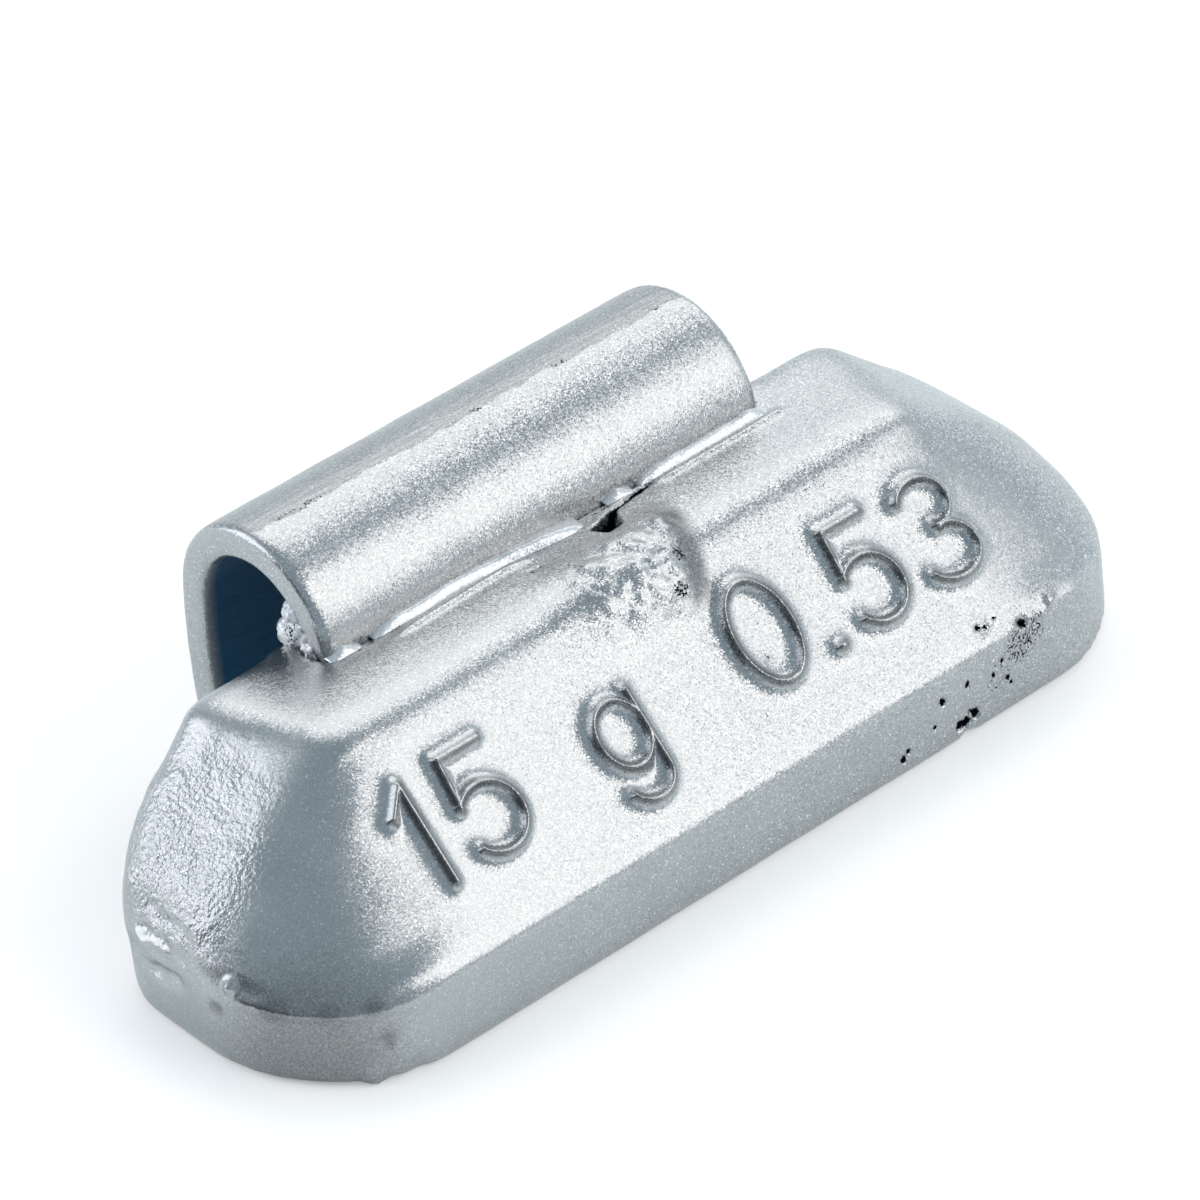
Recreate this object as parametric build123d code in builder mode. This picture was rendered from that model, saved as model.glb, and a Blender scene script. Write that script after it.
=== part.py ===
import os
from math import cos, radians, sin
from build123d import *

# Cast weight, measured along and across its tilted parting plane.
mould_tilt = 8.0
band_height = 2.8
upper_height = 5.55
parting_length = 35.1
parting_depth = 9.7
parting_corner = 5.2
parting_back_corner = 2.55
top_front_length = 23.1
top_back_length = 26.4
top_front_setback = 5.0
top_back_setback = 10.35
top_corner = 0.9
top_back_corner = 0.7
lower_swell = 1.0
upper_swell = 0.75
top_edge_radius = 0.4
base_edge_radius = 0.2

# Spring clip, a bent strip whose front leg is cast into the weight.
strip_thickness = 1.1
clip_width = 17.7
leg_slant = 10.0
foot_setback = 9.4
foot_height = 7.05
tail_length = 4.5
arch_radius = 3.3
rear_leg_radius = 20.0
rear_leg_angle = 16.5
strip_edge_radius = 0.25

# The band is carried below the base before it is cut level.
base_margin = 1.0

tilt_sin = sin(radians(mould_tilt))
tilt_cos = cos(radians(mould_tilt))
leg_sin = sin(radians(leg_slant))
leg_cos = cos(radians(leg_slant))

# The origin lies midway between the rounded front edge and the back of the rear leg.
edge_relief = base_edge_radius * ((1 + tilt_sin) / tilt_cos - 1)
rear_reach = foot_setback + arch_radius * (1 + leg_cos)
front_y = -(edge_relief + rear_reach) / 2

parting_origin = (0, front_y + band_height * tilt_sin, band_height * tilt_cos)
parting_plane = Plane(origin=parting_origin, x_dir=(1, 0, 0), z_dir=(0, tilt_sin, tilt_cos))
mould_axis = Axis(parting_origin, parting_plane.z_dir)

# Outlines above the parting edge: the share of the height and how far the ends swell past a straight taper.
outline_levels = ((0, 0), (1 / 3, lower_swell), (2 / 3, upper_swell), (1, 0))

# The clip's outer face runs up the slanted leg, over the arch and down the curved rear leg.
foot = Vector(front_y + foot_setback, foot_height)
tail_end = foot - Vector(leg_sin, leg_cos) * tail_length
arch_middle = foot + Vector(leg_cos, -leg_sin) * arch_radius
rear_middle = arch_middle + Vector(arch_radius - rear_leg_radius, 0)

os.makedirs("parts", exist_ok=True)

with BuildPart() as spring_clip:
    with BuildSketch(Plane.YZ):
        with BuildLine():
            Line(tail_end, foot)
            CenterArc(arch_middle, arch_radius, 0, 180 - leg_slant)
            CenterArc(rear_middle, rear_leg_radius, -rear_leg_angle, rear_leg_angle)
            offset(amount=strip_thickness, side=Side.RIGHT)
        make_face()
    extrude(amount=clip_width / 2, both=True)
    end_faces = spring_clip.faces().filter_by(Axis.X)
    fillet(end_faces.edges(), strip_edge_radius)

spring_clip.part.label = "spring_clip"
export_step(spring_clip.part, "parts/spring_clip.step")

with BuildPart() as cast_weight:
    outlines = []
    for share, swell in outline_levels:
        front_half = (parting_length + (top_front_length - parting_length) * share) / 2 + swell
        back_half = (parting_length + (top_back_length - parting_length) * share) / 2 + swell
        front_line = top_front_setback * share
        back_line = parting_depth + (top_back_setback - parting_depth) * share
        front_corner = parting_corner + (top_corner - parting_corner) * share + swell
        back_corner = parting_back_corner + (top_back_corner - parting_back_corner) * share
        with BuildSketch(parting_plane.offset(upper_height * share)) as outline:
            with BuildLine():
                Polyline(
                    (-back_half, back_line),
                    (-front_half, front_line),
                    (front_half, front_line),
                    (back_half, back_line),
                    close=True,
                )
            make_face()
            fillet(outline.vertices().group_by(Axis.Y)[0], front_corner)
            fillet(outline.vertices().group_by(Axis.Y)[-1], back_corner)
        outlines.append(outline.sketch)
    loft()
    extrude(outlines[0], amount=-band_height - base_margin)
    fillet(cast_weight.edges().filter_by(parting_plane).group_by(mould_axis)[-1], top_edge_radius)
    split(bisect_by=Plane.XY, keep=Keep.TOP)
    fillet(cast_weight.faces().sort_by(Axis.Z)[0].edges(), base_edge_radius)
    add(spring_clip.part, mode=Mode.SUBTRACT)

cast_weight.part.label = "cast_weight"
export_step(cast_weight.part, "parts/cast_weight.step")
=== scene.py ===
import math

import bmesh
import bpy
import numpy as np
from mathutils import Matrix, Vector, noise


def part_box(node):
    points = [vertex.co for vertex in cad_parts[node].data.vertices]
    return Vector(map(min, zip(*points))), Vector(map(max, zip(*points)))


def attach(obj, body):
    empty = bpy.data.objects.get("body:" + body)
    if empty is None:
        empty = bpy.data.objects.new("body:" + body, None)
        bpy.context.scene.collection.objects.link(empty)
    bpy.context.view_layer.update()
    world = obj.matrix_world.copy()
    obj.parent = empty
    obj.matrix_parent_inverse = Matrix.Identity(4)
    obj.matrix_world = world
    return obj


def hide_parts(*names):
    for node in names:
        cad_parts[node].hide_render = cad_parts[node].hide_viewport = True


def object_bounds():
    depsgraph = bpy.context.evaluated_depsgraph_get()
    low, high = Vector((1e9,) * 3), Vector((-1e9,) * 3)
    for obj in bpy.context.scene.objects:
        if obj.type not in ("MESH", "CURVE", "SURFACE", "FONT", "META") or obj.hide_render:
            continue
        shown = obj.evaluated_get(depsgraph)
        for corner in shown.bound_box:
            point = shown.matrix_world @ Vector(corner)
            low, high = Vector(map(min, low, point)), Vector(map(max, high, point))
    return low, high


bl_info = {
    "name": "Wheel balance weight",
    "version": (1, 0, 0),
    "blender": (4, 5, 0),
    "location": "View3D > Sidebar > Weight",
    "description": "Dresses the cast wheel balance weight and its spring clip",
    "category": "Object",
}

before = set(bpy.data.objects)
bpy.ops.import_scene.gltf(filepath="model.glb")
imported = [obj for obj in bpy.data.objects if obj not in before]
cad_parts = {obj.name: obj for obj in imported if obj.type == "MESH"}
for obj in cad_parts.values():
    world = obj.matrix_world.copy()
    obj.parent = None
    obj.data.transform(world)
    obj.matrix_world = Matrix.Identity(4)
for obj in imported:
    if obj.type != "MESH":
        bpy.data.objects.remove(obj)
cad_low, cad_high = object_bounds()
weight_low, weight_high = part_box("cast_weight")
clip_low, clip_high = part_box("spring_clip")

# The pieces are shaped in millimetres and brought back to metres at the end.
MM = 1000.0

# Front face: a point on the parting edge, the way up the slope and the way out of it.
FACE_FOOT = np.array((0.0, -7.601, 2.773))
FACE_UP = np.array((0.0, 0.7662, 0.6426))
FACE_OUT = np.array((0.0, -0.6426, 0.7662))

# Clip arch: the middle of its bend, and its outer radius.
ARCH_Y = 4.660
ARCH_Z = 6.477
ARCH_RADIUS = 3.3
STRIP = 1.1

# Top face: its front edge, how it falls towards the back, and the clip's foot on it.
EDGE_Y = -1.877
EDGE_Z = 7.573
TOP_FALL = 0.1405
FOOT_Y = 1.42

# Casting flaws as (place, reach, rise): lumps stand out and hollows sink in.
LUMPS = (((-17.5, 0.55, 1.75), 0.6, -0.3), ((-17.2, -3.6, 2.75), 0.32, 0.24),
         ((-16.9, 1.3, 3.6), 0.5, 0.1), ((11.1, -7.55, 2.85), 0.3, -0.16),
         ((11.6, -7.6, 2.5), 0.28, -0.12), ((12.4, -7.43, 2.95), 0.3, 0.12),
         ((-14.47, -7.33, 1.46), 0.5, -0.13), ((-17.45, -3.25, 1.84), 0.4, -0.1),
         ((-14.9, -7.15, 0.2), 0.5, 0.16), ((-13.6, -7.75, 0.3), 0.5, -0.14),
         ((8.6, -7.9, 0.1), 0.5, -0.12))

# Middle and reach of the battered place at the left end.
BATTERED = ((-17.4, -0.55, 2.45), 1.9)

# Pits as (place, reach, depth); their insides are painted black as shade.
PITS = (((8.48, -7.9, 0.62), 0.26, 0.25), ((8.18, -7.9, 0.66), 0.22, 0.22),
        ((8.84, -7.88, 0.74), 0.22, 0.2), ((8.66, -7.9, 0.92), 0.15, 0.12),
        ((5.8, -7.89, 0.66), 0.15, 0.14), ((6.03, -7.87, 0.86), 0.12, 0.1),
        ((7.54, -7.74, 1.81), 0.15, 0.14), ((8.61, -7.73, 1.86), 0.15, 0.14),
        ((7.16, -7.83, 1.11), 0.1, 0.08), ((9.7, -7.75, 1.7), 0.1, 0.08),
        ((10.3, -7.8, 1.3), 0.12, 0.1), ((10.47, -7.8, 1.1), 0.1, 0.08), ((10.1, -7.7, 2.0), 0.1, 0.08),
        ((11.3, -7.65, 2.1), 0.11, 0.1), ((11.15, -7.5, 2.75), 0.16, 0.12),
        ((9.58, -7.1, 3.2), 0.09, 0.08), ((9.85, -7.17, 3.13), 0.08, 0.06),
        ((10.3, -7.12, 3.2), 0.08, 0.06), ((-1.77, 0.28, 7.27), 0.09, 0.08),
        ((-1.47, 0.25, 7.27), 0.08, 0.08), ((-14.8, -7.0, 3.3), 0.08, 0.06))

# Speckled patches as (place, reach, share of specks); the specks are painted black as shade.
SPECKLED = (((10.9, -7.66, 2.2), 1.3, 0.46), ((11.6, -7.6, 2.45), 0.9, 0.44),
            ((9.9, -7.8, 1.5), 1.1, 0.4), ((9.8, -7.2, 3.1), 0.6, 0.38), ((1.75, -2.3, 7.5), 0.55, 0.5),
            ((1.15, -3.05, 6.9), 0.55, 0.52), ((-8.7, 2.9, 7.4), 0.8, 0.5),
            ((2.6, -5.2, 4.7), 0.4, 0.38), ((-7.35, 1.25, 7.2), 0.35, 0.5))

# Painted shade, as (place, reach, share): darker patches on the front-left corner, in hollows and by the gate
# and the clip's end.
SHADE_PATCHES = (((-14.47, -7.33, 1.46), 0.5, 0.8), ((-17.45, -3.25, 1.84), 0.5, 0.62),
           ((-7.35, 1.2, 7.2), 0.35, 0.53), ((2.5, -0.2, 7.34), 0.8, 0.19),
           ((0.2, -1.75, 7.6), 0.6, 0.28), ((-16.3, -6.0, 1.2), 4.4, 0.66),
           ((-16.9, -5.1, 2.5), 1.1, 0.78), ((-16.0, -6.4, 2.65), 1.1, 0.78),
           ((-14.9, -7.2, 2.75), 0.9, 0.76))

# Flash bead along the clip's foot: its stretches, its section, the length of a step along it, how soon it
# tapers, how far it leaves the foot before the void and its share of painted highlight, given as bare metal.
BEAD = ((-8.8, -7.6), (-7.15, 1.0), (2.2, 3.3), (3.6, 9.0))
BEAD_SECTION = ((0.75, 0.16), (0.15, 0.21), (0.04, 0.25), (-0.02, 0.245), (-0.08, 0.21), (-0.14, 0.155),
                (-0.2, 0.09), (-0.25, 0.02), (-0.28, -0.04), (0.75, -0.1))
BEAD_STEP = 0.06
BEAD_TAPER = 0.9
BEAD_OUT = 0.4
BEAD_HIGHLIGHT = 0.6

# Blobs of flash inside the clip as (middle, radii, ruggedness, seed).
BLOBS = (((-8.5, 3.0, 6.98), (0.46, 0.7, 0.62), 0.3, 3),
         ((-8.55, 2.78, 7.35), (0.42, 0.62, 0.62), 0.3, 6),
         ((-8.6, 3.02, 7.9), (0.36, 0.42, 0.38), 0.35, 9),
         ((-8.72, 2.2, 6.98), (0.26, 0.36, 0.32), 0.3, 12))

# Corners of the void in the top face, from above, and how deep it and the crevice beside it go.
VOID = ((0.95, 0.6), (1.1, -0.05), (1.7, 0.05), (2.2, 0.92))
VOID_DEPTH = 0.6
CREVICE_DEPTH = 0.25

# The flash on the top face lies above this height and no further than this from the middle of the clip.
FLASH_LOW = 6.8
FLASH_HALF = 9.2

# How far the gate's stub stands out, and which way.
GATE_RISE = 0.4
GATE_WAY = np.array((0.0, -0.35, 0.937))

# Rise and width of the soft ridges of flash, and rise, height and width of the lip on the parting edge.
RIDGE_RISE = 0.1
RIDGE_WIDTH = 0.15
LIP_RISE = 0.1
LIP_HEIGHT = 2.5
LIP_WIDTH = 0.2

# Softboxes as (name, setting with its power, way from the weight, width, height, colour), and their distance.
WARM = (1.0, 0.955, 0.915)
COOL = (0.96, 0.96, 1.0)
SOFTBOXES = (("front_softbox", "front", (0.54, -0.645, 0.545), 0.32, 0.385, WARM),
             ("rear_softbox", "rear", (0.57, 0.47, 0.66), 0.40, 0.33, WARM),
             ("left_softbox", "left", (-0.60, 0.65, 0.46), 0.40, 0.34, COOL))
LAMP_DISTANCE = 0.45

# Floor: its radius, its tone in reflections, its lift to white, and the share of that lift in reflections.
FLOOR_RADIUS = 3.0
FLOOR_MIRRORED = (0.96, 0.985, 0.96)
FLOOR_LIFT = 0.25
MIRRORED_SHARE = 0.55

# Room: the way to its unlit side and its strength there, the way to its backdrop and the backdrop's share,
# and the tints of the room and the backdrop.
UNLIT_WAY = Vector((-0.985, -0.05, 0.1)).normalized()
UNLIT_STRENGTH = 0.1
BACKDROP_WAY = Vector((0.85, 0.52, 0.0)).normalized()
BACKDROP_SHARE = 0.84
ROOM_TINT = (0.77, 0.95, 1.09)
BACKDROP_TINT = (0.87, 0.985, 1.05)

# Camera: the way back from the weight, the point that it looks at in millimetres, its distance and its lens.
CAMERA_BACK = Vector((-0.54365, -0.57044, 0.61566))
CAMERA_AIM = Vector((-2.156, -3.061, 8.291))
CAMERA_DISTANCE = 0.2352
CAMERA_LENS = 242.957
CAMERA_SENSOR = 36.0


class WeightSizes(bpy.types.PropertyGroup):
    """Sizes of the casting, its marks and the clip's skin."""

    casting_skin: bpy.props.FloatProperty(
        name="Casting skin", description="Mesh size of the casting's skin",
        default=0.0002, min=0.0001, max=0.001, unit="LENGTH", precision=6)
    clip_skin: bpy.props.FloatProperty(
        name="Clip skin", description="Mesh size of the clip's skin",
        default=0.00014, min=0.0001, max=0.001, unit="LENGTH", precision=6)
    mark_height: bpy.props.FloatProperty(
        name="Mark height", description="Height of the raised marks, up the slope",
        default=0.0033, min=0.001, max=0.005, unit="LENGTH", precision=5)
    mark_rise: bpy.props.FloatProperty(
        name="Mark rise", description="How far the marks stand out of the front face",
        default=0.00035, min=0.0, max=0.001, unit="LENGTH", precision=5)
    mark_reach: bpy.props.FloatProperty(
        name="Mark reach", description="How far the hollow flank of a mark's stroke reaches",
        default=0.000145, min=0.00005, max=0.002, unit="LENGTH", precision=6)


class WeightColours(bpy.types.PropertyGroup):
    """Colours of the paint and the bare metal."""

    silver: bpy.props.FloatVectorProperty(
        name="Silver paint", description="Silver paint on the casting and the clip",
        default=(0.455, 0.46, 0.462), min=0.0, max=1.0, size=3, subtype="COLOR")
    # Dark navy of the clip's unpainted blued inside, which also paints the shade in the arch.
    steel_and_shade: bpy.props.FloatVectorProperty(
        name="Blued steel", description="Unpainted inside of the clip",
        default=(0.014, 0.1, 0.205), min=0.0, max=1.0, size=3, subtype="COLOR")
    # Painted shade: black inside pits, speckles, voids, the crevice, the line under the bead and the clip's
    # dents.
    hollow_shade: bpy.props.FloatVectorProperty(
        name="Pit", description="Inside of pits and voids in the casting",
        default=(0.006, 0.007, 0.008), min=0.0, max=1.0, size=3, subtype="COLOR")
    # Pale unpainted flash, also a painted highlight on that flash and on the bead.
    zinc_and_highlight: bpy.props.FloatVectorProperty(
        name="Bare zinc", description="Unpainted flash inside the clip",
        default=(0.86, 0.86, 0.87), min=0.0, max=1.0, size=3, subtype="COLOR")
    floor: bpy.props.FloatVectorProperty(
        name="Floor", description="Pale floor under the weight",
        default=(0.99, 0.945, 0.91), min=0.0, max=1.0, size=3, subtype="COLOR")


class WeightLight(bpy.types.PropertyGroup):
    """Lamps round the weight."""

    front: bpy.props.FloatProperty(
        name="Front softbox", description="Power of the softbox in front on the right",
        default=0.69, min=0.0, unit="POWER")
    rear: bpy.props.FloatProperty(
        name="Rear softbox", description="Power of the softbox above and behind on the right",
        default=0.49, min=0.0, unit="POWER")
    left: bpy.props.FloatProperty(
        name="Left softbox", description="Power of the softbox above and behind on the left",
        default=0.78, min=0.0, unit="POWER")
    room: bpy.props.FloatProperty(
        name="Room", description="Strength of the pale room round the weight",
        default=0.53, min=0.0, max=2.0)


class WeightSettings(bpy.types.PropertyGroup):
    """Everything that a user would change."""

    sizes: bpy.props.PointerProperty(type=WeightSizes)
    colours: bpy.props.PointerProperty(type=WeightColours)
    light: bpy.props.PointerProperty(type=WeightLight)


# Raised marks

def arc(middle_x, middle_y, radius_x, radius_y, start, end, steps=44):
    """Points along part of an ellipse, in degrees."""
    turn = np.radians(np.linspace(start, end, steps))
    return np.stack((middle_x + radius_x * np.cos(turn), middle_y + radius_y * np.sin(turn)), 1)


def line(*points):
    """Points of a stroke made of straight runs."""
    return np.array(points, float)


# Each sign is its width and its strokes, where 1 is the height of a figure.
SIGNS = {
    "0": (0.66, [arc(0.33, 0.5, 0.33, 0.5, 0, 360, 80)]),
    "1": (0.30, [line((0.02, 0.74), (0.24, 0.98), (0.24, 0.0))]),
    "3": (0.62, [arc(0.29, 0.75, 0.29, 0.25, 150, -85), arc(0.29, 0.26, 0.33, 0.26, 88, -150)]),
    "5": (0.64, [line((0.58, 1.0), (0.10, 1.0), (0.06, 0.52)), arc(0.30, 0.325, 0.33, 0.325, 138, -140, 64)]),
    ".": (0.04, [line((0.0, 0.02), (0.04, 0.02))]),
    "g": (0.56, [arc(0.27, 0.36, 0.27, 0.32, 0, 360, 64),
                 np.vstack((line((0.54, 0.68), (0.54, 0.0)), arc(0.28, -0.05, 0.26, 0.24, 0, -150)))]),
}

# Where each group of signs starts along the face and how far up it they stand, in millimetres, and the gap
# between two signs as a share of their height.
MARKS = (("15", -11.45), ("g", -4.15), ("0.53", 1.75))
MARK_FOOT = 2.2
MARK_GAP = 0.3

# Roundness of a stroke's crest, in millimetres, and the way towards a stroke's far flank, which gets painted
# shade.
CREST = 0.058
SHADED_FLANK_WAY = -0.9 * np.array((1.0, 0.0, 0.0)) - 0.43 * FACE_UP


def mark_strokes(height):
    """Strokes of all the marks on the front face, in millimetres along and up it."""
    strokes = []
    for signs, start in MARKS:
        left = start
        for sign in signs:
            width, shapes = SIGNS[sign]
            strokes.extend(shape * height + (left, MARK_FOOT) for shape in shapes)
            left += (width + MARK_GAP) * height
    return strokes


def stroke_distance(points, stroke):
    """How far each point is from a stroke."""
    nearest = np.full(len(points), 1e9)
    for a, b in zip(stroke[:-1], stroke[1:]):
        run = b - a
        share = np.clip((points - a) @ run / (run @ run), 0.0, 1.0)
        nearest = np.minimum(nearest, np.linalg.norm(points - a - share[:, None] * run, axis=1))
    return nearest


# Shaping

def smooth_step(value, low, high):
    """0 below low, 1 above high and a soft rise between."""
    share = np.clip((value - low) / (high - low), 0.0, 1.0)
    return share * share * (3.0 - 2.0 * share)


def grain(points, size, octaves, seed):
    """Noise at each point, with lumps of about that size in millimetres."""
    shift = Vector((seed * 7.31, seed * 3.17, seed * 5.73))
    return np.array([noise.fractal(Vector(p) / size + shift, 0.8, 2.1, octaves) for p in points])


def cad_copy(node):
    """A merged copy of a CAD node, in millimetres."""
    bm = bmesh.new()
    bm.from_mesh(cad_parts[node].data)
    bmesh.ops.remove_doubles(bm, verts=bm.verts, dist=1e-7)
    bmesh.ops.scale(bm, vec=(MM, MM, MM), verts=bm.verts)
    return bm


def closed_skin(bm, name, size):
    """One closed skin of even squares over everything in bm."""
    block = bpy.data.meshes.new(name + "_block")
    bm.to_mesh(block)
    bm.free()
    holder = bpy.data.objects.new(name + "_block", block)
    bpy.context.scene.collection.objects.link(holder)
    remesh = holder.modifiers.new("Skin", "REMESH")
    remesh.mode = "VOXEL"
    remesh.voxel_size = size
    mesh = bpy.data.meshes.new_from_object(holder.evaluated_get(bpy.context.evaluated_depsgraph_get()))
    bpy.data.objects.remove(holder)
    bpy.data.meshes.remove(block)
    skin = bmesh.new()
    skin.from_mesh(mesh)
    bpy.data.meshes.remove(mesh)
    return skin


def relax(bm, rounds, chosen=None):
    """Softens edges and the skin's small steps, everywhere or where a vertex is chosen."""
    verts = [v for i, v in enumerate(bm.verts) if chosen is None or chosen[i]]
    for _ in range(rounds):
        bmesh.ops.smooth_vert(bm, verts=verts, factor=0.5, use_axis_x=True, use_axis_y=True, use_axis_z=True)


def refine(bm, chosen):
    """Halves the squares between chosen vertices."""
    bm.verts.index_update()
    edges = [e for e in bm.edges if chosen[e.verts[0].index] and chosen[e.verts[1].index]]
    bmesh.ops.subdivide_edges(bm, edges=edges, cuts=1, use_grid_fill=True)


def finished_piece(bm, name, attributes, material):
    """Turns a bmesh in millimetres into a smooth object in metres that rides on the body."""
    bmesh.ops.scale(bm, vec=(1 / MM, 1 / MM, 1 / MM), verts=bm.verts)
    mesh = bpy.data.meshes.new(name)
    bm.to_mesh(mesh)
    bm.free()
    for label, values in attributes.items():
        layer = mesh.attributes.new(label, "FLOAT", "POINT")
        layer.data.foreach_set("value", np.asarray(values, np.float32))
    mesh.shade_smooth()
    mesh.materials.append(material)
    piece = bpy.data.objects.new(name, mesh)
    bpy.context.scene.collection.objects.link(piece)
    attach(piece, "root")
    return piece


def places(bm):
    """Places and outward directions of a bmesh's vertices."""
    bm.normal_update()
    return np.array([v.co for v in bm.verts]), np.array([v.normal for v in bm.verts])


def join(bm, island):
    """Adds a finished island to a bmesh."""
    mesh = bpy.data.meshes.new("island")
    island.to_mesh(mesh)
    island.free()
    bm.from_mesh(mesh)
    bpy.data.meshes.remove(mesh)


def move_to(bm, points):
    """Moves a bmesh's vertices to new places."""
    for v, p in zip(bm.verts, points):
        v.co = p
    bm.normal_update()


# Materials

def add_node(tree, kind, label="", **settings):
    """A node with its settings. Input values are given by their socket's name or number."""
    node = tree.nodes.new(kind)
    if label:
        node.label = label
    values = settings.pop("inputs", {})
    for key, value in settings.items():
        setattr(node, key, value)
    for key, value in values.items():
        node.inputs[key].default_value = value
    return node


def link(tree, source, target):
    """Joins two sockets."""
    tree.links.new(source, target)


def new_group(name, inputs, outputs):
    """A node group with those sockets, and its two end nodes."""
    tree = bpy.data.node_groups.new(name, "ShaderNodeTree")
    for side, sockets in (("INPUT", inputs), ("OUTPUT", outputs)):
        for label, kind in sockets.items():
            tree.interface.new_socket(label, in_out=side, socket_type="NodeSocket" + kind)
    return tree, add_node(tree, "NodeGroupInput"), add_node(tree, "NodeGroupOutput")


def coat_group():
    """Silver paint: each flake tips the surface a little and has its own tone."""
    tree, given, result = new_group("Silver coat", {"Vector": "Vector", "Normal": "Vector", "Paint": "Color"},
                                    {"Normal": "Vector", "Colour": "Color", "Roughness": "Float"})
    cells = add_node(tree, "ShaderNodeTexVoronoi", "Flakes", feature="F1", voronoi_dimensions="3D",
                     inputs={"Scale": 25000.0})
    link(tree, given.outputs["Vector"], cells.inputs["Vector"])
    centred = add_node(tree, "ShaderNodeVectorMath", operation="SUBTRACT", inputs={1: (0.5, 0.5, 0.5)})
    link(tree, cells.outputs["Color"], centred.inputs[0])
    along = add_node(tree, "ShaderNodeSeparateXYZ")
    link(tree, given.outputs["Vector"], along.inputs[0])
    flat = add_node(tree, "ShaderNodeMapRange", "Flatter flakes at the left end",
                    inputs={"From Min": -0.014, "From Max": 0.001, "To Min": 0.1, "To Max": 0.24})
    link(tree, along.outputs["X"], flat.inputs["Value"])
    tipped = add_node(tree, "ShaderNodeVectorMath", "Flake tilt", operation="SCALE")
    link(tree, centred.outputs[0], tipped.inputs[0])
    link(tree, flat.outputs["Result"], tipped.inputs["Scale"])
    summed = add_node(tree, "ShaderNodeVectorMath", operation="ADD")
    link(tree, tipped.outputs[0], summed.inputs[0])
    link(tree, given.outputs["Normal"], summed.inputs[1])
    unit = add_node(tree, "ShaderNodeVectorMath", operation="NORMALIZE")
    link(tree, summed.outputs[0], unit.inputs[0])
    link(tree, unit.outputs[0], result.inputs["Normal"])
    parts = add_node(tree, "ShaderNodeSeparateColor")
    link(tree, cells.outputs["Color"], parts.inputs[0])
    tone = add_node(tree, "ShaderNodeFloatCurve", "Flake tone")
    curve = tone.mapping.curves[0]
    curve.points[0].location = (0.0, 0.40)
    curve.points[1].location = (1.0, 0.86)
    for place in ((0.15, 0.455), (0.5, 0.50), (0.85, 0.525), (0.95, 0.62)):
        curve.points.new(*place)
    tone.mapping.update()
    link(tree, parts.outputs["Red"], tone.inputs["Value"])
    apart = add_node(tree, "ShaderNodeMath", operation="SUBTRACT", inputs={1: 0.5})
    link(tree, tone.outputs["Value"], apart.inputs[0])
    weighed = add_node(tree, "ShaderNodeMath", operation="MULTIPLY")
    link(tree, apart.outputs[0], weighed.inputs[0])
    link(tree, flat.outputs["Result"], weighed.inputs[1])
    flake = add_node(tree, "ShaderNodeMath", "Flake contrast", operation="MULTIPLY_ADD",
                     inputs={1: 7.5, 2: 0.5})
    link(tree, weighed.outputs[0], flake.inputs[0])
    cloud = add_node(tree, "ShaderNodeTexNoise", "Uneven coat", inputs={"Scale": 600.0, "Detail": 5.0})
    link(tree, given.outputs["Vector"], cloud.inputs["Vector"])
    thin = add_node(tree, "ShaderNodeMapRange", "Thin and thick coat",
                    inputs={"From Min": 0.3, "From Max": 0.7, "To Min": 1.92, "To Max": 2.08})
    link(tree, cloud.outputs["Fac"], thin.inputs["Value"])
    share = add_node(tree, "ShaderNodeMath", operation="MULTIPLY")
    link(tree, flake.outputs[0], share.inputs[0])
    link(tree, thin.outputs["Result"], share.inputs[1])
    colour = add_node(tree, "ShaderNodeVectorMath", operation="SCALE")
    link(tree, given.outputs["Paint"], colour.inputs[0])
    link(tree, share.outputs[0], colour.inputs["Scale"])
    link(tree, colour.outputs[0], result.inputs["Colour"])
    gloss = add_node(tree, "ShaderNodeMapRange", "Gloss",
                     inputs={"From Min": 0.3, "From Max": 0.7, "To Min": 0.23, "To Max": 0.29})
    link(tree, cloud.outputs["Fac"], gloss.inputs["Value"])
    link(tree, gloss.outputs["Result"], result.inputs["Roughness"])
    return tree


def speck_group():
    """Ragged specks with crisp edges, where a soft mask lets them be."""
    tree, given, result = new_group("Ragged specks", {"Vector": "Vector", "Mask": "Float"},
                                    {"Specks": "Float"})
    ragged = add_node(tree, "ShaderNodeTexNoise", "Ragged edge", inputs={"Scale": 12000.0, "Detail": 4.0})
    link(tree, given.outputs["Vector"], ragged.inputs["Vector"])
    summed = add_node(tree, "ShaderNodeMath", operation="ADD")
    link(tree, given.outputs["Mask"], summed.inputs[0])
    link(tree, ragged.outputs["Fac"], summed.inputs[1])
    crisp = add_node(tree, "ShaderNodeMapRange", "Crisp edge", inputs={"From Min": 0.98, "From Max": 1.06})
    link(tree, summed.outputs[0], crisp.inputs["Value"])
    link(tree, crisp.outputs["Result"], result.inputs["Specks"])
    return tree


def shared_group(name, make):
    """The group of that name, made on first use."""
    return bpy.data.node_groups.get(name) or make()


def new_material(name):
    """A node material with only its shader and output."""
    material = bpy.data.materials.new(name)
    material.use_nodes = True
    tree = material.node_tree
    tree.nodes.clear()
    shader = add_node(tree, "ShaderNodeBsdfPrincipled")
    output = add_node(tree, "ShaderNodeOutputMaterial")
    link(tree, shader.outputs["BSDF"], output.inputs["Surface"])
    return material, tree, shader


def attribute(tree, name):
    """A value kept on the mesh."""
    node = add_node(tree, "ShaderNodeAttribute", name, attribute_name=name, attribute_type="GEOMETRY")
    return node.outputs["Fac"]


def bump(tree, height, strength, distance, normal=None):
    """Relief finer than the mesh. The strength is a value or a socket."""
    node = add_node(tree, "ShaderNodeBump", inputs={"Distance": distance})
    link(tree, height, node.inputs["Height"])
    if isinstance(strength, float):
        node.inputs["Strength"].default_value = strength
    else:
        link(tree, strength, node.inputs["Strength"])
    if normal:
        link(tree, normal, node.inputs["Normal"])
    return node.outputs["Normal"]


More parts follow.
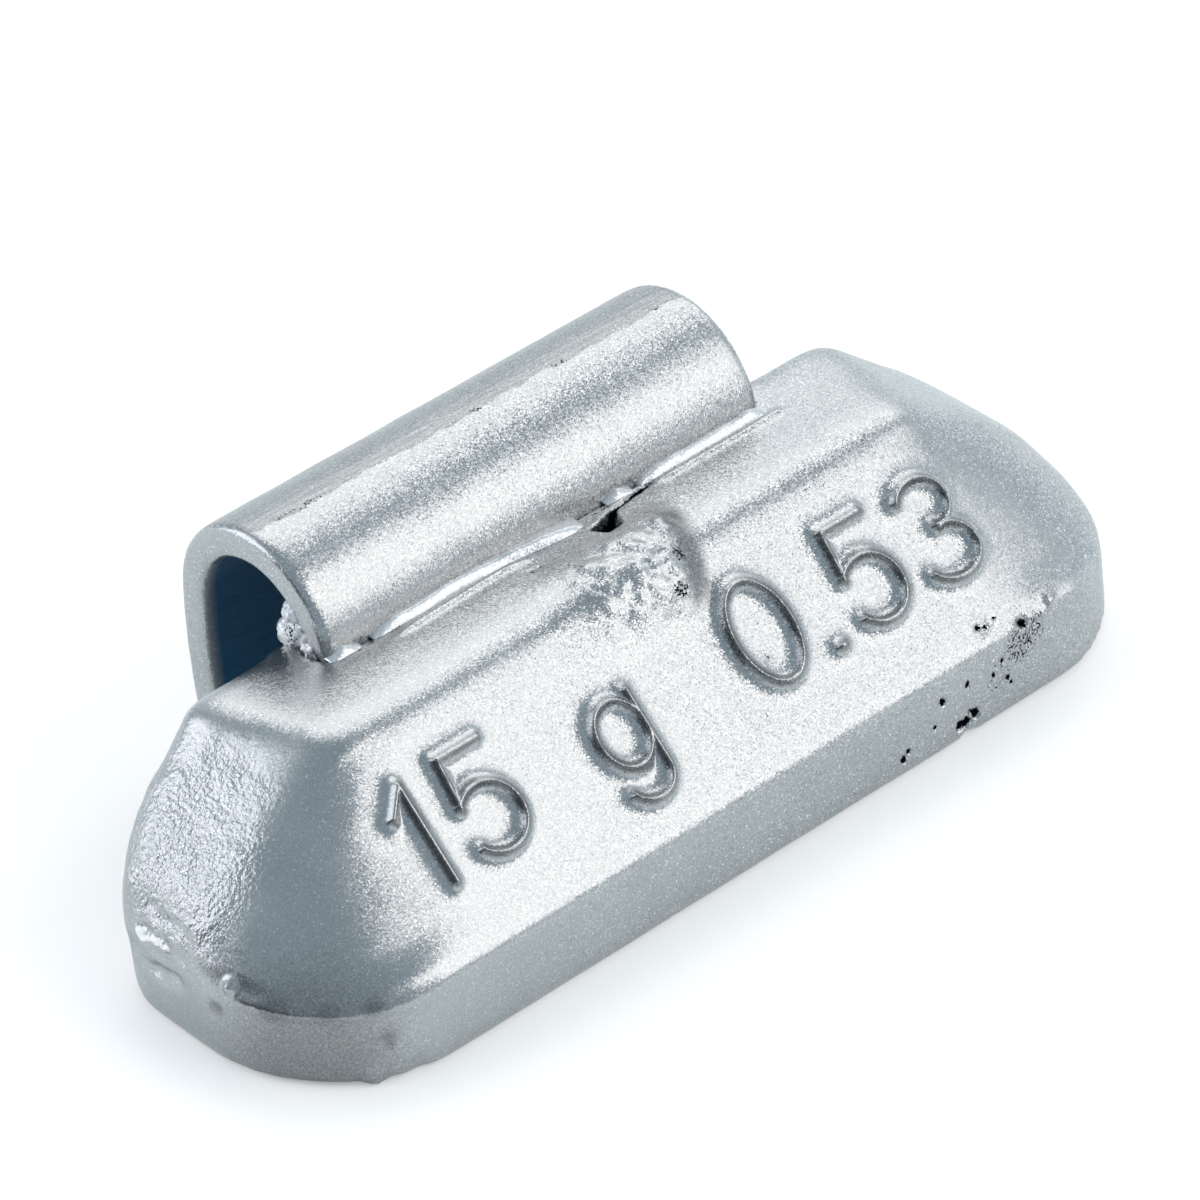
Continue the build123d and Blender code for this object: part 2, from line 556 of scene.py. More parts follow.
def blend(tree, share, first, second):
    """A colour between two, each a colour or a socket."""
    node = add_node(tree, "ShaderNodeMix", data_type="RGBA")
    link(tree, share, node.inputs["Factor"])
    for side, colour in ((node.inputs[6], first), (node.inputs[7], second)):
        if isinstance(colour, bpy.types.NodeSocket):
            link(tree, colour, side)
        else:
            side.default_value = (*colour, 1.0)
    return node.outputs[2]


def ease(tree, share, first, second):
    """A value between a socket's and a number."""
    node = add_node(tree, "ShaderNodeMix", data_type="FLOAT")
    link(tree, share, node.inputs["Factor"])
    if isinstance(first, bpy.types.NodeSocket):
        link(tree, first, node.inputs[2])
    else:
        node.inputs[2].default_value = first
    node.inputs[3].default_value = second
    return node.outputs[0]


def noise_at(tree, vector, label, scale, detail):
    """Even noise over the piece."""
    node = add_node(tree, "ShaderNodeTexNoise", label, inputs={"Scale": scale, "Detail": detail})
    link(tree, vector, node.inputs["Vector"])
    return node.outputs["Fac"]


def silver_coat(tree, vector, normal, colours):
    """The shared silver paint over a relief."""
    coat = add_node(tree, "ShaderNodeGroup", node_tree=shared_group("Silver coat", coat_group))
    coat.inputs["Paint"].default_value = (*colours.silver, 1.0)
    link(tree, vector, coat.inputs["Vector"])
    link(tree, normal, coat.inputs["Normal"])
    return coat


def ragged_specks(tree, vector, mask):
    """Specks where the mask lets them be."""
    specks = add_node(tree, "ShaderNodeGroup", node_tree=shared_group("Ragged specks", speck_group))
    link(tree, vector, specks.inputs["Vector"])
    link(tree, mask, specks.inputs["Mask"])
    return specks.outputs["Specks"]


def casting_paint(name, colours):
    """Silver paint on the casting: grainy at one end, with painted shade in the pits, voids, flanks and
    patches, and a painted highlight on the bare flash and the bead.
    """
    material, tree, shader = new_material(name)
    vector = add_node(tree, "ShaderNodeTexCoord").outputs["Object"]
    specks = ragged_specks(tree, vector, attribute(tree, "pitted"))
    normal = bump(tree, noise_at(tree, vector, "Orange peel", 2400.0, 3.0), 0.08, 0.00004)
    normal = bump(tree, noise_at(tree, vector, "Grains", 7000.0, 2.0), attribute(tree, "grainy"),
                  0.00007, normal)
    solid = add_node(tree, "ShaderNodeMath", "Unpitted", operation="SUBTRACT", inputs={0: 1.0})
    link(tree, specks, solid.inputs[1])
    normal = bump(tree, solid.outputs[0], 0.7, 0.00006, normal)
    coat = silver_coat(tree, vector, normal, colours)
    link(tree, coat.outputs["Normal"], shader.inputs["Normal"])
    # Painted shade: the thin attribute darkens the coat, with grains, on the marks' far flanks, the gate's
    # flank and the shade patches.
    shaded_coat = add_node(tree, "ShaderNodeVectorMath", "Thin paint", operation="SCALE", inputs={"Scale": 0.34})
    link(tree, coat.outputs["Colour"], shaded_coat.inputs[0])
    grains = add_node(tree, "ShaderNodeMath", "Grainy painted shade", operation="MULTIPLY_ADD", inputs={1: 0.9})
    link(tree, noise_at(tree, vector, "Painted shade grains", 16000.0, 2.0), grains.inputs[0])
    link(tree, attribute(tree, "thin"), grains.inputs[2])
    worn = add_node(tree, "ShaderNodeMapRange", "Painted shade share", inputs={"From Min": 0.6, "From Max": 1.4})
    link(tree, grains.outputs[0], worn.inputs["Value"])
    colour = blend(tree, worn.outputs["Result"], coat.outputs["Colour"], shaded_coat.outputs[0])
    # Unpainted flash and the bead: pale and less metallic, a painted highlight that stays bright in shade.
    colour = blend(tree, attribute(tree, "raw"), colour, colours.zinc_and_highlight)
    # Painted shade: black in the pits, speckles, void, crevice and line under the bead.
    link(tree, blend(tree, specks, colour, colours.hollow_shade), shader.inputs["Base Color"])
    link(tree, ease(tree, attribute(tree, "raw"), 0.95, 0.3), shader.inputs["Metallic"])
    link(tree, ease(tree, specks, coat.outputs["Roughness"], 0.8), shader.inputs["Roughness"])
    return material


def clip_paint(name, colours):
    """Silver paint on the clip: wrinkled over the back of the bend, painted shade in the dents along the
    paint edge, and only overspray inside, where the dark blued metal also paints the shade.
    """
    material, tree, shader = new_material(name)
    vector = add_node(tree, "ShaderNodeTexCoord").outputs["Object"]
    ragged = add_node(tree, "ShaderNodeTexNoise", "Ragged paint edge",
                      inputs={"Scale": 1100.0, "Detail": 8.0, "Roughness": 0.72})
    link(tree, vector, ragged.inputs["Vector"])
    edge = add_node(tree, "ShaderNodeMath", "Paint edge", operation="MULTIPLY_ADD", inputs={1: 16.0})
    link(tree, ragged.outputs["Fac"], edge.inputs[0])
    link(tree, attribute(tree, "turn"), edge.inputs[2])
    thick = add_node(tree, "ShaderNodeMapRange", "Thick paint", inputs={"From Min": 5.2, "From Max": 7.2})
    link(tree, edge.outputs[0], thick.inputs["Value"])
    along = add_node(tree, "ShaderNodeMapping", "Along the clip", inputs={"Scale": (0.12, 1.0, 1.0)})
    link(tree, vector, along.inputs["Vector"])
    wrinkles = noise_at(tree, along.outputs["Vector"], "Wrinkles", 3800.0, 4.0)
    normal = bump(tree, noise_at(tree, vector, "Orange peel", 2400.0, 3.0), 0.08, 0.00004)
    near = add_node(tree, "ShaderNodeMath", "Along the paint edge", operation="COMPARE",
                    inputs={1: 6.2, 2: 1.8})
    link(tree, edge.outputs[0], near.inputs[0])
    here = add_node(tree, "ShaderNodeMapRange", "Here and there",
                    inputs={"From Min": 0.52, "From Max": 0.62, "To Max": 0.48})
    link(tree, noise_at(tree, vector, "Dents", 700.0, 2.0), here.inputs["Value"])
    mask = add_node(tree, "ShaderNodeMath", operation="MULTIPLY")
    link(tree, near.outputs[0], mask.inputs[0])
    link(tree, here.outputs["Result"], mask.inputs[1])
    dents = ragged_specks(tree, vector, mask.outputs[0])
    normal = bump(tree, thick.outputs["Result"], 0.22, 0.00006, normal)
    normal = bump(tree, wrinkles, ease(tree, thick.outputs["Result"], 0.6, 0.05), 0.00008, normal)
    coat = silver_coat(tree, vector, normal, colours)
    link(tree, coat.outputs["Normal"], shader.inputs["Normal"])
    bare = add_node(tree, "ShaderNodeMath", "Overspray", operation="MULTIPLY_ADD", inputs={1: 0.16})
    link(tree, noise_at(tree, vector, "Overspray specks", 7000.0, 3.0), bare.inputs[0])
    link(tree, attribute(tree, "bare"), bare.inputs[2])
    steel_and_shade = add_node(tree, "ShaderNodeMapRange", "Bare steel", inputs={"From Min": 0.12, "From Max": 0.95})
    link(tree, bare.outputs[0], steel_and_shade.inputs["Value"])
    thin = add_node(tree, "ShaderNodeVectorMath", "Thin paint", operation="SCALE", inputs={"Scale": 0.73})
    link(tree, coat.outputs["Colour"], thin.inputs[0])
    paint = blend(tree, thick.outputs["Result"], thin.outputs[0], coat.outputs["Colour"])
    # Painted shade: black in the dents along the paint edge.
    paint = blend(tree, dents, paint, colours.hollow_shade)
    # Inside the clip, the dark blued colour also paints the shade in the arch.
    share = steel_and_shade.outputs["Result"]
    link(tree, blend(tree, share, paint, colours.steel_and_shade), shader.inputs["Base Color"])
    link(tree, ease(tree, share, 0.95, 0.5), shader.inputs["Metallic"])
    link(tree, ease(tree, share, coat.outputs["Roughness"], 0.5), shader.inputs["Roughness"])
    return material


# The casting's shape

def top_height(y):
    """Height of the top face."""
    return EDGE_Z - TOP_FALL * (y - EDGE_Y)


def add_blob(bm, place, radii, ruggedness, seed):
    """A lumpy ball of metal, sunk into the skin."""
    ball = bmesh.ops.create_icosphere(bm, subdivisions=4, radius=1.0)["verts"]
    for v in ball:
        v.co *= 1.0 + ruggedness * noise.fractal(v.co * 2.2 + Vector((seed, 2.0 * seed, 0.0)), 0.8, 2.1, 3)
    bmesh.ops.scale(bm, vec=radii, verts=ball)
    bmesh.ops.translate(bm, vec=place, verts=ball)


def bead_middle(x):
    """Where the bead runs: along the clip's foot, and out from it before the void."""
    return FOOT_Y - BEAD_OUT * smooth_step(x, -3.0, 1.0) * (x < 1.5)


def add_bead(bm):
    """The thin bead of flash against the clip's foot, broken in places."""
    for start, end in BEAD:
        bead = bmesh.new()
        section = [bead.verts.new((start, y, z)) for y, z in BEAD_SECTION]
        edges = [bead.edges.new((section[i - 1], section[i])) for i in range(len(section))]
        steps = round((end - start) / BEAD_STEP)
        bmesh.ops.spin(bead, geom=section + edges, cent=(0.0, 0.0, 0.0), axis=(1.0, 0.0, 0.0),
                       dvec=((end - start) / steps, 0.0, 0.0), angle=0.0, steps=steps)
        bmesh.ops.holes_fill(bead, edges=[e for e in bead.edges if e.is_boundary])
        bmesh.ops.recalc_face_normals(bead, faces=bead.faces)
        for v in bead.verts:
            x, y, z = v.co
            sway = noise.fractal(Vector((x / 2.4, 3.0, 0.0)), 0.9, 2.1, 2)
            swell = noise.fractal(Vector((x / 1.3, 0.0, 7.0)), 0.9, 2.1, 2)
            taper = min(1.0, 0.03 + (x - start) / BEAD_TAPER, 0.03 + (end - x) / BEAD_TAPER)
            taper = math.sin(0.5 * math.pi * taper)
            middle = bead_middle(x) + 0.05 * sway
            v.co = (x, middle + y, top_height(middle) + z * taper * (1.0 + 0.3 * swell) - 0.02)
        join(bm, bead)


def far_from(points, place, reach):
    """How far each point is from a place, where 1 is the reach."""
    return np.linalg.norm(points - place, axis=1) / reach


def patches(points, spots, full):
    """The strongest of the spots at each point. A spot is at its full share up to that part of its reach."""
    strongest = np.zeros(len(points))
    for place, reach, share in spots:
        faded = smooth_step(far_from(points, place, reach), full, 1.0)
        strongest = np.maximum(strongest, share * (1.0 - faded))
    return strongest


def on_top_edges(points):
    """Round the soft edges of the top face, clear of the clip."""
    x, y, z = points.T
    return (z > top_height(y) - 1.7) & ((y < 0.4) | (np.abs(x) > 9.6))


def on_front_corners(points):
    """Round the two front corners, above the parting edge."""
    x, y, z = points.T
    return (np.abs(x) > 9.8) & (y < -2.2) & (z > 3.15)


def on_left_edge(points):
    """Along the worn parting edge at the left end."""
    return (points[:, 0] < -9.5) & (points[:, 1] > -3.6) & (np.abs(points[:, 2] - 2.75) < 0.8)


def on_face(points):
    """Places along and up the front face, and how far in front of it they are."""
    from_foot = points - FACE_FOOT
    return np.stack((points[:, 0], from_foot @ FACE_UP), 1), from_foot @ FACE_OUT


def mark_distance(points, sizes):
    """How far each place on the front face is from the nearest stroke of a mark."""
    flat, out = on_face(points)
    nearest = np.full(len(points), 1e9)
    near = np.flatnonzero((np.abs(out) < 0.6) & (flat[:, 1] > 0.2) & (flat[:, 1] < 6.8))
    for stroke in mark_strokes(sizes.mark_height * MM):
        nearest[near] = np.minimum(nearest[near], stroke_distance(flat[near], stroke))
    return nearest


def needs_fine_skin(points, sizes):
    """Where the casting has marks, flash, pits or a rough face."""
    x, y, z = points.T
    up = on_face(points)[0][:, 1]
    marks = mark_distance(points, sizes) < 1.2
    gate = (x > -2.0) & (x < 3.6) & (up > 5.0) & (y < 0.4)
    foot = (np.abs(x) < 9.4) & (y > -0.4) & (y < 1.75) & (z > 6.7)
    left_end = (x < -15.2) & (z > 0.8) & (z < 3.8) & (y < 2.2)
    pitted_band = (x > 5.2) & (x < 12.6) & (y < -6.9)
    return marks | gate | foot | left_end | pitted_band


def needs_finest_skin(points, sizes):
    """Along the strokes of the marks, in the void and at the pits."""
    fine = mark_distance(points, sizes) < 0.55
    fine |= np.hypot(points[:, 0] - 1.55, points[:, 1] - 0.45) < 1.0
    for place, reach, _ in PITS:
        fine |= np.linalg.norm(points - place, axis=1) < 1.5 * reach
    return fine


def raise_marks(points, sizes):
    """Lifts the front face into ridges along the marks. Returns the steep far flanks, which get painted
    shade.
    """
    far = mark_distance(points, sizes)
    away = (mark_distance(points + 0.02 * SHADED_FLANK_WAY, sizes) - far) / 0.02
    nearest = np.sqrt(far ** 2 + CREST ** 2) - CREST
    rise = np.maximum(np.exp(-nearest / (sizes.mark_reach * MM)) - math.exp(-4.5), 0.0)
    points += (sizes.mark_rise * MM * rise)[:, None] * FACE_OUT
    return smooth_step(away, 0.1, 0.85) * smooth_step(rise, 0.2, 0.8)


def raise_gate(points, ways):
    """The broken-off gate over the middle of the top front edge. Returns its right flank, which gets painted
    shade.
    """
    x, y = points[:, 0], points[:, 1]
    up = on_face(points)[0][:, 1]
    facing_up = ways[:, 2] > 0.3
    right = np.clip(2.2 + 0.43 * (y + 2.8), 1.7, 3.3)
    across = smooth_step(x, -3.4, 0.9) * (1.0 - smooth_step(x - right, -1.0, 0.3))
    along = smooth_step(up, 4.9, 6.6) * (1.0 - smooth_step(y, -1.0, 0.4))
    stub = across * along * facing_up
    near = np.flatnonzero(stub > 0.0)
    rough = 0.14 * grain(points[near], 0.9, 2, 3)
    rougher = 0.055 * grain(points[near], 0.3, 2, 5)
    points[near] += (stub[near] * (GATE_RISE + rough + rougher))[:, None] * GATE_WAY
    # Painted shade on the gate's right flank, shown as darker paint.
    flank = (1.0 - smooth_step(np.abs(x - right + 0.2), 0.2, 0.85)) * facing_up
    return 0.7 * flank * smooth_step(up, 4.9, 5.8) * (1.0 - smooth_step(y, -0.9, -0.1))


def raise_ridges(points):
    """Two soft ridges of flash in front of the bead."""
    x, y, z = points.T
    middle = np.where(x < 1.5, bead_middle(x) - 0.41 - 0.044 * np.maximum(-2.0 - x, 0.0), 0.95)
    run = smooth_step(x, -7.0, -5.6) * (1.0 - smooth_step(x, -2.2, -0.8)) + smooth_step(x, 3.6, 4.6)
    rise = RIDGE_RISE * run * np.exp(-((y - middle) / RIDGE_WIDTH) ** 2)
    points[:, 2] += np.where((np.abs(x) < FLASH_HALF) & (z > FLASH_LOW), rise, 0.0)


def raise_lip(points, ways):
    """The thin lip of flash along the parting edge, round the left front corner."""
    x, y, z = points.T
    lip = LIP_RISE * np.exp(-((z - LIP_HEIGHT) / LIP_WIDTH) ** 2)
    lip *= smooth_step(-y, 3.2, 4.2) * smooth_step(-x, 12.5, 14.5)
    points += lip[:, None] * ways * (1.0, 1.0, 0.0)


def bend_corners(points):
    """Turns the front face in a little before its two corners."""
    flat, out = on_face(points)
    x, up = flat.T
    right = 0.2 * smooth_step(x, 10.4, 13.4)
    left = 0.16 * smooth_step(-x, 10.6, 13.4) * (1.0 - smooth_step(up, 3.0, 5.5))
    faded = smooth_step(up, 0.3, 1.6) * (1.0 - smooth_step(up, 5.6, 7.3))
    points -= (faded * (1.0 - smooth_step(-out, 0.1, 2.2)) * (right + left))[:, None] * FACE_OUT


def outside_void(x, y):
    """How far each place is outside the void's corners."""
    outside = np.full(len(x), -1e9)
    for (ax, ay), (bx, by) in zip(VOID, VOID[1:] + VOID[:1]):
        across = ((x - ax) * (by - ay) - (y - ay) * (bx - ax)) / math.hypot(bx - ax, by - ay)
        outside = np.maximum(outside, across)
    return outside


def open_void(points):
    """The void and the crevice where the flash ran short. Returns the painted shade: how dark each place is
    painted, with the line under the bead.
    """
    dark = np.zeros(len(points))
    x, y, z = points.T
    near = np.flatnonzero((x > 0.5) & (x < 4.4) & (y > -0.5) & (y < FOOT_Y + 0.1) & (z > FLASH_LOW))
    x, y = x[near], y[near]
    ragged = 0.12 * grain(points[near], 0.4, 2, 12)
    void = 1.0 - smooth_step(outside_void(x, y) + 0.5 * ragged, -0.12, 0.05)
    gap = np.abs(y - 0.86 - 0.16 * (x - 2.2)) / 0.1 + 3.0 * ragged
    crevice = 1.0 - smooth_step(gap, 0.5, 1.3)
    crevice *= smooth_step(x, 1.7, 2.0) * (1.0 - smooth_step(x, 3.7, 4.1))
    points[near, 2] -= VOID_DEPTH * void + CREVICE_DEPTH * crevice
    dark[near] = np.maximum(void, crevice)
    return np.maximum(dark, under_bead(points))


def under_bead(points):
    """Painted shade: the broken dark line in the crevice under the flash bead."""
    x, y, z = points.T
    dark = np.zeros(len(points))
    ahead = bead_middle(x) - 0.29 - y
    near = np.flatnonzero((np.abs(x) < FLASH_HALF) & (np.abs(ahead) < 0.15)
                          & (z > FLASH_LOW) & (z < top_height(y) + 0.1))
    dark[near] = 0.5 * (1.0 - smooth_step(np.abs(ahead[near]), 0.03, 0.09))
    dark[near] *= smooth_step(grain(points[near] * (1.0, 0.0, 0.0), 0.8, 2, 14), 0.1, 0.5)
    return dark


def roughen(points, ways):
    """The slight waviness of the whole casting. Returns how grainy each place of the left end is."""
    x, y, z = points.T
    end = smooth_step(-x, 12.6, 13.6) * smooth_step(-ways[:, 0], 0.42, 0.6) * smooth_step(z, 2.4, 3.2)
    end *= smooth_step(y + 0.34 * (z - 3.0), -3.0, -1.0) * smooth_step(ways[:, 2], 0.15, 0.35)
    points += ((0.014 + 0.03 * end) * grain(points, 2.6, 2, 31))[:, None] * ways
    near = np.flatnonzero(end > 0.0)
    points[near] += (0.03 * end[near] * grain(points[near], 0.6, 2, 22))[:, None] * ways[near]
    far = far_from(points, *BATTERED)
    near = np.flatnonzero(far < 1.0)
    dents = 0.26 * grain(points[near] * (1.0, 0.55, 1.3), 0.8, 2, 9) - 0.1
    points[near] += (dents * (1.0 - smooth_step(far[near], 0.35, 1.0)))[:, None] * ways[near]
    return end * (1.0 - 0.45 * smooth_step(z, 4.5, 6.5))


def knock(points, ways):
    """Lumps, hollows and pits. Returns how pitted and how speckled each place is."""
    for place, reach, rise in LUMPS:
        far = far_from(points, place, reach)
        points += (rise * (1.0 - smooth_step(far, 0.0, 1.0)))[:, None] * ways
    speckled = patches(points, SPECKLED, 0.3)
    pitted = speckled.copy()
    for place, reach, depth in PITS:
        far = far_from(points, place, reach)
        near = np.flatnonzero(far < 1.6)
        hollow = 1.0 - smooth_step(far[near] + 0.45 * grain(points[near], 0.16, 2, 41), 0.3, 1.1)
        points[near] -= (depth * hollow)[:, None] * ways[near]
        pitted[near] = np.maximum(pitted[near], hollow)
    return pitted, speckled


# Operators, stage and panel

class WEIGHT_OT_cast_weight(bpy.types.Operator):
    """Dress the cast weight with its raised marks and casting flaws, and paint in its shade and highlights"""

    bl_idname = "weight.cast_weight"
    bl_label = "Cast weight"

    def execute(self, context):
        settings = context.scene.weight_settings
        sizes = settings.sizes
        bm = closed_skin(cad_copy("cast_weight"), "cast_weight_skin", sizes.casting_skin * MM)
        relax(bm, 2)
        for rounds, softened in ((24, on_top_edges), (40, on_front_corners), (5, on_left_edge)):
            relax(bm, rounds, softened(places(bm)[0]))
        for refined in (needs_fine_skin, needs_finest_skin):
            refine(bm, refined(places(bm)[0], sizes))
            relax(bm, 1)
        skin = len(bm.verts)
        add_bead(bm)
        beads = len(bm.verts)
        for place, radii, ruggedness, seed in BLOBS:
            add_blob(bm, place, radii, ruggedness, seed)
        points, ways = places(bm)
        # The thin mask is painted shade: first the marks' far flanks, then the gate's flank.
        thin = raise_marks(points, sizes)
        bend_corners(points)
        thin = np.maximum(thin, raise_gate(points, ways))
        raise_ridges(points)
        raise_lip(points, ways)
        dark = open_void(points)
        grainy = roughen(points, ways)
        pitted, speckled = knock(points, ways)
        low = np.array(weight_low) * MM
        high = np.array((weight_high[0], cad_high[1], cad_high[2])) * MM
        move_to(bm, np.clip(points, low, high))
        x, y, z = points.T
        # Unpainted flash inside the clip, lightened as a painted highlight so that it stays bright in the
        # arch's shade.
        raw = (1.0 - smooth_step(x, -8.0, -7.8)) * smooth_step(y, 1.75, 1.9)
        raw *= smooth_step(z - top_height(y), 0.05, 0.2)
        # The bead gets a painted highlight, given as a share of bare metal.
        raw[skin:beads] = BEAD_HIGHLIGHT
        # Painted shade and highlight go in these masks: black in pits and hollows, darker paint on flanks and
        # patches, pale flash and bead.
        values = {"pitted": np.maximum(dark, pitted),
                  "grainy": np.maximum(grainy, 2.0 * speckled),
                  "raw": raw,
                  "thin": np.maximum(thin, patches(points, SHADE_PATCHES, 0.2))}
        piece = finished_piece(bm, "cast_weight_dressed", values,
                               casting_paint("Silver casting paint", settings.colours))
        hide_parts("cast_weight")
        return {"FINISHED"}


class WEIGHT_OT_spring_clip(bpy.types.Operator):
    """Dress the spring clip with its paint and its bare inside, whose dark colour also paints the shade there
    """

    bl_idname = "weight.spring_clip"
    bl_label = "Spring clip"

    def execute(self, context):
        settings = context.scene.weight_settings
        bm = closed_skin(cad_copy("spring_clip"), "spring_clip_skin", settings.sizes.clip_skin * MM)
        relax(bm, 4)
        points, ways = places(bm)
        x, y, z = points.T
        middle = np.hypot(y - ARCH_Y, z - ARCH_Z)
        turn = np.where(z > ARCH_Z, np.degrees(np.arctan2(ARCH_Y - y, z - ARCH_Z)),
                        np.where(y > ARCH_Y, -90.0, 90.0))
        turn = np.where(np.abs(ways[:, 0]) > 0.5, 40.0, turn)
        # The clip's unpainted inside; its dark blued colour also paints the shade there.
        inner = ARCH_RADIUS - STRIP
        in_bend = 1.0 - smooth_step(middle, inner + 0.15, inner + 0.35)
        in_legs = smooth_step(np.where(y > ARCH_Y, -ways[:, 1], ways[:, 1]), 0.3, 0.7)
        bare = np.where(z > ARCH_Z, in_bend, in_legs) * smooth_step(x - clip_low[0] * MM, 0.0, 0.7)
        points += (0.012 * grain(points, 1.6, 2, 51))[:, None] * ways
        move_to(bm, np.clip(points, np.array(clip_low) * MM, np.array(clip_high) * MM))
        piece = finished_piece(bm, "spring_clip_dressed", {"turn": turn, "bare": bare},
                               clip_paint("Silver clip paint", settings.colours))
        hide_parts("spring_clip")
        return {"FINISHED"}


def softbox(name, way, width, height, power, colour):
    """A rectangular lamp in that direction from the weight, facing it."""
    data = bpy.data.lights.new(name, "AREA")
    data.shape = "RECTANGLE"
    data.size = width
    data.size_y = height
    data.energy = power
    data.color = colour
    lamp = bpy.data.objects.new(name, data)
    bpy.context.scene.collection.objects.link(lamp)
    way = Vector(way).normalized()
    lamp.location = way * LAMP_DISTANCE
    lamp.rotation_euler = (-way).to_track_quat("-Z", "Y").to_euler()


def pale_floor(colour):
    """A wide floor that looks white and keeps the weight's shadow."""
    bm = bmesh.new()
    bmesh.ops.create_circle(bm, cap_ends=True, segments=96, radius=FLOOR_RADIUS)
    mesh = bpy.data.meshes.new("floor")
    bm.to_mesh(mesh)
    bm.free()
    floor = bpy.data.objects.new("floor", mesh)
    bpy.context.scene.collection.objects.link(floor)
    material, tree, shader = new_material("Pale floor")
    shader.inputs["Roughness"].default_value = 0.9
    shader.inputs["Specular IOR Level"].default_value = 0.1
    shader.inputs["Emission Color"].default_value = (1.0, 1.0, 1.0, 1.0)
    rays = add_node(tree, "ShaderNodeLightPath")
    tone = blend(tree, rays.outputs["Is Glossy Ray"], colour, FLOOR_MIRRORED)
    link(tree, tone, shader.inputs["Base Color"])
    straight = add_node(tree, "ShaderNodeMath", "Seen straight or through glass", operation="MAXIMUM")
    link(tree, rays.outputs["Is Camera Ray"], straight.inputs[0])
    link(tree, rays.outputs["Is Transmission Ray"], straight.inputs[1])
    seen = add_node(tree, "ShaderNodeMath", "Seen floor", operation="MULTIPLY_ADD",
                    inputs={1: MIRRORED_SHARE})
    link(tree, rays.outputs["Is Glossy Ray"], seen.inputs[0])
    link(tree, straight.outputs[0], seen.inputs[2])
    lift = add_node(tree, "ShaderNodeMath", "Lift to white", operation="MULTIPLY", inputs={1: FLOOR_LIFT})
    link(tree, seen.outputs[0], lift.inputs[0])
    link(tree, lift.outputs[0], shader.inputs["Emission Strength"])
    mesh.materials.append(material)
    return floor


def pale_room(strength):
    """A pale world with a backdrop behind the weight and an unlit side on its left."""
    room = bpy.data.worlds.new("Pale room")
    room.use_nodes = True
    tree = room.node_tree
    tree.nodes.clear()
    where = add_node(tree, "ShaderNodeTexCoord").outputs["Generated"]
    towards = add_node(tree, "ShaderNodeVectorMath", "Unlit side", operation="DOT_PRODUCT",
                       inputs={1: UNLIT_WAY})
    link(tree, where, towards.inputs[0])
    shade = add_node(tree, "ShaderNodeMapRange", interpolation_type="SMOOTHSTEP",
                     inputs={"From Min": 0.84, "From Max": 0.98,
                             "To Min": strength, "To Max": UNLIT_STRENGTH})
    link(tree, towards.outputs["Value"], shade.inputs["Value"])
    behind = add_node(tree, "ShaderNodeVectorMath", "Backdrop side", operation="DOT_PRODUCT",
                      inputs={1: BACKDROP_WAY})
    link(tree, where, behind.inputs[0])
    side = add_node(tree, "ShaderNodeMapRange", interpolation_type="SMOOTHSTEP",
                    inputs={"From Min": 0.2, "From Max": 0.75, "To Max": BACKDROP_SHARE})
    link(tree, behind.outputs["Value"], side.inputs["Value"])
    parts = add_node(tree, "ShaderNodeSeparateXYZ")
    link(tree, where, parts.inputs[0])
    height = add_node(tree, "ShaderNodeMapRange", "Backdrop height", interpolation_type="SMOOTHSTEP",
                      inputs={"From Max": 0.2, "To Min": 1.0, "To Max": 0.45})
    link(tree, parts.outputs["Z"], height.inputs["Value"])
    lit = add_node(tree, "ShaderNodeMath", operation="MULTIPLY_ADD")
    link(tree, side.outputs["Result"], lit.inputs[0])
    link(tree, height.outputs["Result"], lit.inputs[1])
    link(tree, shade.outputs["Result"], lit.inputs[2])
    glow = add_node(tree, "ShaderNodeBackground")
    link(tree, blend(tree, side.outputs["Result"], ROOM_TINT, BACKDROP_TINT), glow.inputs["Color"])
    link(tree, lit.outputs[0], glow.inputs["Strength"])
    output = add_node(tree, "ShaderNodeOutputWorld")
    link(tree, glow.outputs["Background"], output.inputs["Surface"])
    return room


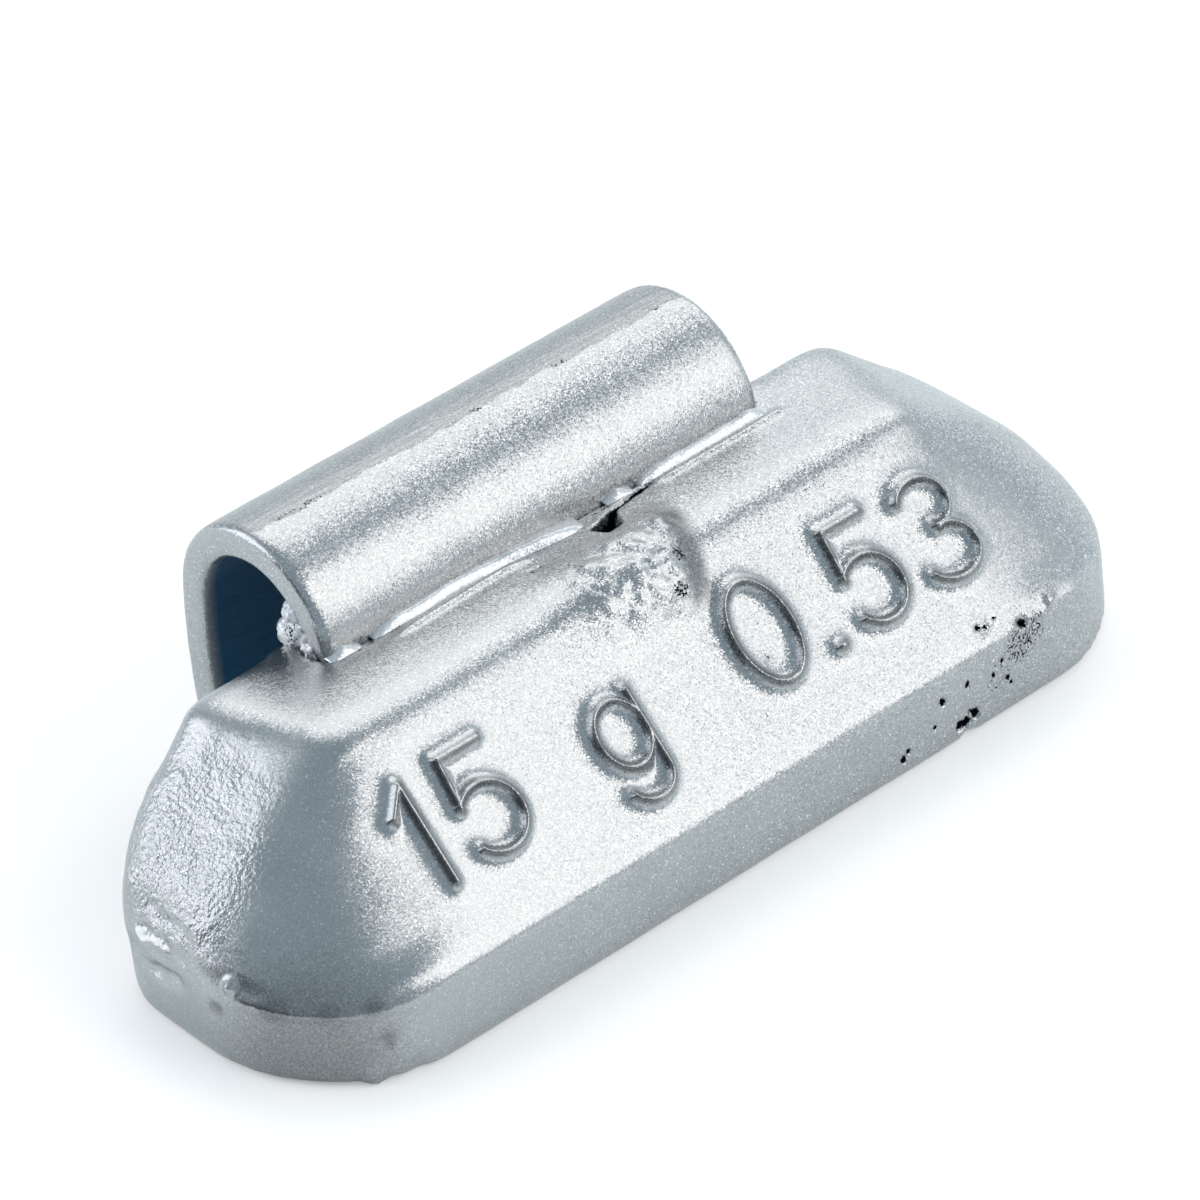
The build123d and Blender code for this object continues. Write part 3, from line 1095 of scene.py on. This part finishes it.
def front_camera():
    """A long lens from the front left, above the weight."""
    camera = bpy.data.objects.new("camera", bpy.data.cameras.new("camera"))
    bpy.context.scene.collection.objects.link(camera)
    camera.data.sensor_width = CAMERA_SENSOR
    camera.data.lens = CAMERA_LENS
    camera.data.clip_start = 0.01
    camera.location = CAMERA_AIM / MM + CAMERA_BACK * CAMERA_DISTANCE
    camera.rotation_euler = (-CAMERA_BACK).to_track_quat("-Z", "Y").to_euler()
    return camera


class WEIGHT_OT_stage(bpy.types.Operator):
    """Set the floor, the lamps, the room and the camera"""

    bl_idname = "weight.stage"
    bl_label = "Stage"

    def execute(self, context):
        scene = context.scene
        settings = scene.weight_settings
        floor = pale_floor(settings.colours.floor)
        for name, power, way, width, height, colour in SOFTBOXES:
            softbox(name, way, width, height, getattr(settings.light, power), colour)
        scene.world = pale_room(settings.light.room)
        scene.camera = front_camera()
        scene.view_settings.view_transform = "Standard"
        return {"FINISHED"}


class WEIGHT_PT_panel(bpy.types.Panel):
    """Sizes, colours and lamps of the weight, and what builds it"""

    bl_idname = "WEIGHT_PT_panel"
    bl_label = "Balance weight"
    bl_space_type = "VIEW_3D"
    bl_region_type = "UI"
    bl_category = "Weight"

    def draw(self, context):
        settings = context.scene.weight_settings
        for group in (settings.sizes, settings.colours, settings.light):
            box = self.layout.box()
            for name in group.__annotations__:
                box.prop(group, name)
        for operator in (WEIGHT_OT_cast_weight, WEIGHT_OT_spring_clip, WEIGHT_OT_stage):
            self.layout.operator(operator.bl_idname)


CLASSES = (WeightSizes, WeightColours, WeightLight, WeightSettings,
           WEIGHT_OT_cast_weight, WEIGHT_OT_spring_clip, WEIGHT_OT_stage, WEIGHT_PT_panel)


def register():
    for cls in CLASSES:
        bpy.utils.register_class(cls)
    bpy.types.Scene.weight_settings = bpy.props.PointerProperty(type=WeightSettings)


def unregister():
    del bpy.types.Scene.weight_settings
    for cls in reversed(CLASSES):
        bpy.utils.unregister_class(cls)


def main():
    register()
    bpy.ops.weight.stage()
    bpy.ops.weight.cast_weight()
    bpy.ops.weight.spring_clip()


if __name__ == "__main__":
    main()
